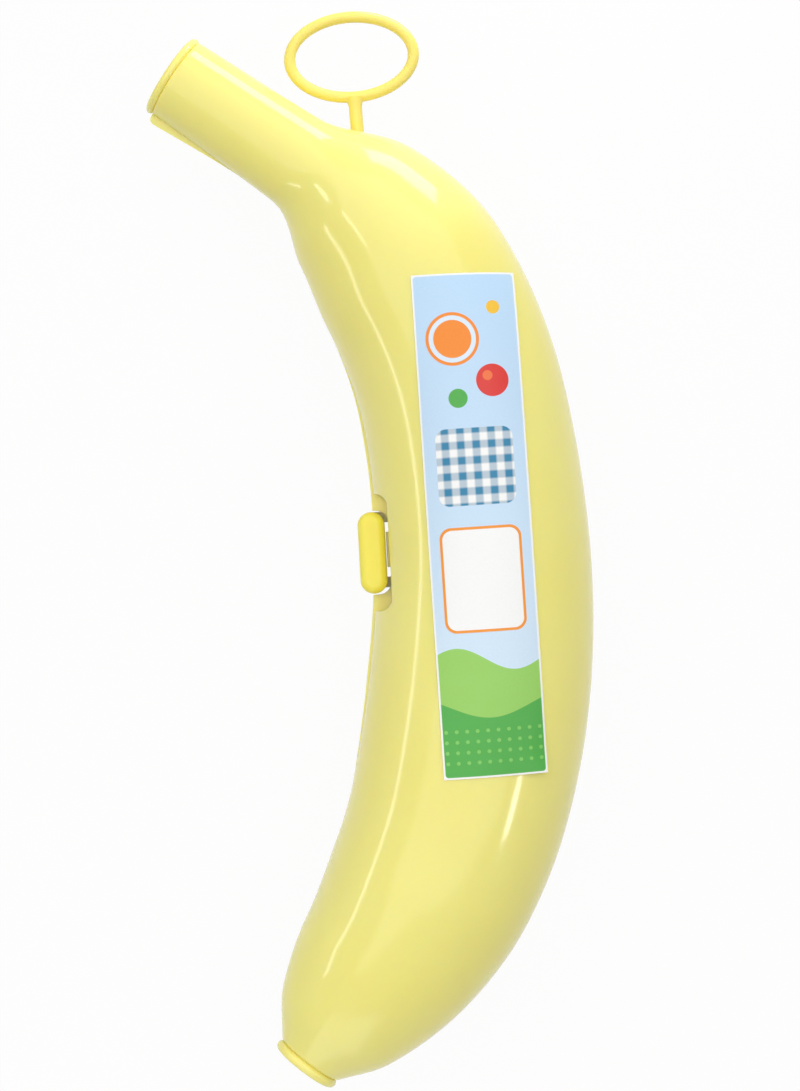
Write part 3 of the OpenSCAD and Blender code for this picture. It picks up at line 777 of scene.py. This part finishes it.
# Label
# A printed film stuck along the front shell, a little askew, with one corner coming away.
# Its print is a plain design of hills, discs and checks on a pale sky.
label_len = 111 * mm
label_w = 23 * mm
label_t = 0.15 * mm
label_lift = 0.1 * mm
label_low, label_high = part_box("label")
label_turn = math.radians(3.8)
curl_reach = 10 * mm
curl_h = 1.8 * mm
label_place = Matrix.Translation((label_low + label_high) / 2) @ Matrix.Rotation(label_turn, 4, "Z")
label_columns = 24
label_rows = 112
unit_half = 0.5
label_bm = bmesh.new()
label_uv = label_bm.loops.layers.uv.new("print")
bmesh.ops.create_grid(label_bm, x_segments=label_columns, y_segments=label_rows, size=unit_half)
for face in label_bm.faces:
    for corner in face.loops:
        corner[label_uv].uv = (corner.vert.co.x + unit_half, corner.vert.co.y + unit_half)
bmesh.ops.scale(label_bm, vec=(label_w, label_len, 1), verts=label_bm.verts)
loose_corner = Vector((label_w / 2, -label_len / 2, 0))
shell_tree = BVHTree.FromObject(front, bpy.context.evaluated_depsgraph_get())
for v in label_bm.verts:
    loose = max(0, 1 - (v.co - loose_corner).length / curl_reach)
    v.co = label_place @ v.co
    hit = shell_tree.ray_cast(Vector((v.co.x, v.co.y, 2 * cad_high.z)), Vector((0, 0, -1)))[0]
    v.co.z = hit.z + label_lift + curl_h * loose ** 2
film = bmesh.ops.extrude_face_region(label_bm, geom=label_bm.faces[:], use_keep_orig=True)["geom"]
for v in film:
    if isinstance(v, bmesh.types.BMVert):
        v.co.z += label_t
label = piece_from(label_bm, "label_film", "front", "label_film", "label")

# The print, worked out in millimetres from the label's corner at the tip end
film_print = bpy.data.materials.new("printed_film")
film_print.use_nodes = True
ink = film_print.node_tree


def calc(operation, *terms):
    """A sum on the print's values."""
    return add(ink, "Math", dict(enumerate(terms)), operation=operation).outputs[0]


def point_calc(operation, *terms):
    """A sum on the print's points, with a Vector and a Value to choose from."""
    return add(ink, "VectorMath", dict(enumerate(terms)), operation=operation).outputs


print_w = label_w / mm
print_h = label_len / mm
print_uv = add(ink, "UVMap", uv_map="print").outputs[0]
print_at = point_calc("MULTIPLY", print_uv, (print_w, print_h, 0))["Vector"]
print_x, print_y, _ = add(ink, "SeparateXYZ", {0: print_at}).outputs
ink_edge = 0.06


def within(value, limit):
    """1 where a value is below a limit and 0 above it, with a soft printed edge."""
    edge = {"From Min": limit - ink_edge, "From Max": limit + ink_edge, "To Min": 1, "To Max": 0}
    return add(ink, "MapRange", {"Value": value, **edge}).outputs[0]


def disc(x, y, radius):
    """A round spot of ink."""
    return within(point_calc("DISTANCE", print_at, (x, y, 0))["Value"], radius)


def panel(x, y, half_w, half_h, corner):
    """A rectangle of ink with round corners."""
    off = point_calc("SUBTRACT", print_at, (x, y, 0))["Vector"]
    off = point_calc("ABSOLUTE", off)["Vector"]
    off = point_calc("SUBTRACT", off, (half_w - corner, half_h - corner, 0))["Vector"]
    off = point_calc("MAXIMUM", off, (0, 0, 0))["Vector"]
    return within(point_calc("LENGTH", off)["Value"], corner)


def hill(top, swing, length, start):
    """The ground below a rolling line."""
    wave = calc("SINE", calc("MULTIPLY_ADD", print_x, 2 * math.pi / length, start))
    return within(calc("MULTIPLY_ADD", wave, -swing, print_y), top)


def dots(pitch, radius, low, high):
    """Rows of small spots between two heights."""
    cell_middle = (0.5, 0.5, 0)
    cell = point_calc("MULTIPLY", print_at, (1 / pitch, 1 / pitch, 0))["Vector"]
    cell = point_calc("FRACTION", cell)["Vector"]
    off = point_calc("DISTANCE", cell, cell_middle)["Value"]
    rows = calc("MULTIPLY", within(print_y, high), calc("SUBTRACT", 1, within(print_y, low)))
    return calc("MULTIPLY", within(calc("MULTIPLY", off, pitch), radius), rows)


def stripes(value, pitch):
    """Even bands along one direction, each with a gap of its own width."""
    band_middle = 0.5
    band_half = 0.25
    band = calc("FRACT", calc("DIVIDE", value, pitch))
    return within(calc("ABSOLUTE", calc("SUBTRACT", band, band_middle)), band_half)


def over(colour, layer, mask):
    """One ink printed over what is there already."""
    return blend(ink, mask, colour, layer)


# Sky, two hills and rows of dots
white_ink = srgb(251, 251, 249)
green_ink = srgb(74, 170, 66)
sky_rise = add(ink, "MapRange", {"Value": print_y, "From Max": print_h}).outputs[0]
art = over(srgb(220, 238, 252), srgb(190, 221, 248), sky_rise)
art = over(art, srgb(152, 208, 96), hill(top=26, swing=2.6, length=26, start=0.5))
art = over(art, green_ink, hill(top=15.5, swing=2.4, length=34, start=2.6))
art = over(art, srgb(124, 200, 92), dots(pitch=2.3, radius=0.42, low=1.6, high=11.5))

# A blank card with an orange edge, and a checked cloth
middle_x = print_w / 2
card_y = 43.5
card_half_w = 8.4
card_half_h = 11
card_edge = 0.6
cloth_y = 68.3
cloth_half = 8.5
check_pitch = 3.4
check_ink = 0.5
card_rim = panel(middle_x, card_y, card_half_w + card_edge, card_half_h + card_edge, corner=2.6)
art = over(art, srgb(246, 150, 40), card_rim)
art = over(art, white_ink, panel(middle_x, card_y, card_half_w, card_half_h, corner=2.1))
crossed = calc("ADD", stripes(print_x, check_pitch), stripes(print_y, check_pitch))
cloth = over(white_ink, srgb(36, 128, 168), calc("MULTIPLY", check_ink, crossed))
art = over(art, cloth, panel(middle_x, cloth_y, cloth_half, cloth_half, corner=2.4))

# Discs by ink, place and radius, the later ones on top
orange_ink = srgb(246, 140, 34)
discs = (
    (orange_ink, 8.2, 96.5, 5.9),
    (srgb(222, 238, 251), 8.2, 96.5, 5.2),
    (orange_ink, 8.2, 96.5, 4.2),
    (srgb(220, 50, 42), 16.4, 87, 3.6),
    (srgb(240, 116, 60), 15.4, 88.1, 1.1),
    (green_ink, 8.6, 83.4, 2.1),
    (srgb(246, 196, 60), 17.6, 103.2, 1.5),
)
for disc_ink, x, y, radius in discs:
    art = over(art, disc_ink, disc(x, y, radius))

# The white edge all round, and the film over it
paper_edge = 0.4
printed = panel(middle_x, print_h / 2, middle_x - paper_edge, print_h / 2 - paper_edge, corner=0.7)
paper = over(white_ink, art, printed)
film_spot = add(ink, "TexCoord").outputs["Object"]
ink_grain = add(ink, "TexNoise", {"Vector": film_spot, "Scale": 2400, "Detail": 2}).outputs["Fac"]
ink_fade = add(ink, "MapRange", {"Value": ink_grain, "To Min": 0.95, "To Max": 1.02}).outputs[0]
ink_tone = blend(ink, 1, paper, ink_fade, "MULTIPLY")
film_haze = add(ink, "TexNoise", {"Vector": film_spot, "Scale": 220, "Detail": 3}).outputs["Fac"]
film_rough = add(ink, "MapRange", {"Value": film_haze, "To Min": 0.3, "To Max": 0.5}).outputs[0]
film_bump = add(ink, "Bump", {"Height": film_haze, "Strength": 0.5, "Distance": 0.03 * mm})
film_body = ink.nodes["Principled BSDF"]
ink.links.new(ink_tone, film_body.inputs["Base Color"])
ink.links.new(film_rough, film_body.inputs["Roughness"])
ink.links.new(film_bump.outputs["Normal"], film_body.inputs["Normal"])
label.data.materials.append(film_print)

# Floor and surroundings
# A plain white table that runs out of sight. It stays white to the eye and in reflections,
# and keeps a trace of the case's shadow.
floor_bm = bmesh.new()
floor_half = 3
bmesh.ops.create_grid(floor_bm, x_segments=1, y_segments=1, size=floor_half)
floor = bpy.data.objects.new("floor", finished_mesh(floor_bm, "floor"))
bpy.context.scene.collection.objects.link(floor)
table = bpy.data.materials.new("white_table")
table.use_nodes = True
table_tree = table.node_tree
table_tree.nodes.clear()


def seen_rays(tree):
    """1 for rays that show a surface to the eye or in a mirror, 0 for rays that light it."""
    rays = add(tree, "LightPath").outputs
    seen = add(tree, "Math", {0: rays["Is Camera Ray"], 1: rays["Is Glossy Ray"]}, operation="MAXIMUM")
    seen = add(tree, "Math", {0: seen.outputs[0], 1: rays["Is Transmission Ray"]}, operation="MAXIMUM")
    return seen.outputs[0]


shadow_kept = 0.05
table_grey = (0.7, 0.7, 0.7, 1)
plain_white = (1, 1, 1, 1)
glow_share = add(table_tree, "Math", {0: seen_rays(table_tree), 1: 1 - shadow_kept},
                 operation="MULTIPLY").outputs[0]
lit = add(table_tree, "BsdfDiffuse", {"Color": table_grey}).outputs[0]
white = add(table_tree, "Emission", {"Color": plain_white, "Strength": 1}).outputs[0]
cover = add(table_tree, "MixShader", {0: glow_share, 1: lit, 2: white}).outputs[0]
add(table_tree, "OutputMaterial", {"Surface": cover})
floor.data.materials.append(table)

world = bpy.data.worlds.new("white_room")
bpy.context.scene.world = world
world.use_nodes = True
world_tree = world.node_tree
room_light = 0.3
room_seen = seen_rays(world_tree)
room_level = add(world_tree, "MapRange", {"Value": room_seen, "To Min": room_light, "To Max": 1})
room = world_tree.nodes["Background"]
world_tree.links.new(room_level.outputs[0], room.inputs["Strength"])
room.inputs["Color"].default_value = plain_white


# Lamps
# One very broad soft box overhead lights the whole case evenly. Small panels around it, out of
# the picture, draw the bright lines and spots along the shells.
def lamp(name, place, aim, size, watts):
    """A flat soft lamp that faces a point, out of the camera's own sight."""
    light = bpy.data.lights.new(name, "AREA")
    light.shape = "RECTANGLE"
    light.size, light.size_y = size
    light.energy = watts
    thing = bpy.data.objects.new(name, light)
    thing.location = place
    thing.rotation_euler = (Vector(place) - Vector(aim)).to_track_quat("Z", "Y").to_euler()
    thing.visible_camera = False
    bpy.context.scene.collection.objects.link(thing)


lamp("soft_box", place=(0, 0.4, 1.1), aim=(0, 0, 0.02), size=(2.2, 2), watts=16.4)
lamp("tip_panel", place=(-0.08, -0.28, 0.12), aim=(0, -0.1, 0.03), size=(0.2, 0.12), watts=0.08)
lamp("stem_panel", place=(0.05, 0.23, 0.04), aim=(0, 0.09, 0.03), size=(0.1, 0.06), watts=0.13)
lamp("inner_panel", place=(-0.45, -0.03, 0.2), aim=(0, -0.03, 0.03), size=(0.2, 0.03), watts=0.13)
lamp("shoulder_panel", place=(-0.39, 0.2, 0.44), aim=(0, 0.08, 0.03), size=(0.03, 0.04), watts=0.03)
lamp("neck_panel", place=(-0.38, 0.23, 0.22), aim=(0, 0.09, 0.03), size=(0.04, 0.04), watts=0.04)
lamp("outer_panel", place=(0.45, -0.21, 0.38), aim=(0.03, -0.06, 0.04), size=(0.08, 0.05), watts=0.2)

# Camera
# Straight above the case, with the picture's frame around it.
camera = bpy.data.objects.new("camera", bpy.data.cameras.new("camera"))
camera.location = (0.0068, 0.0005, 0.77)
camera.data.lens = 108.9
bpy.context.scene.collection.objects.link(camera)
bpy.context.scene.camera = camera
bpy.context.scene.view_settings.view_transform = "Standard"
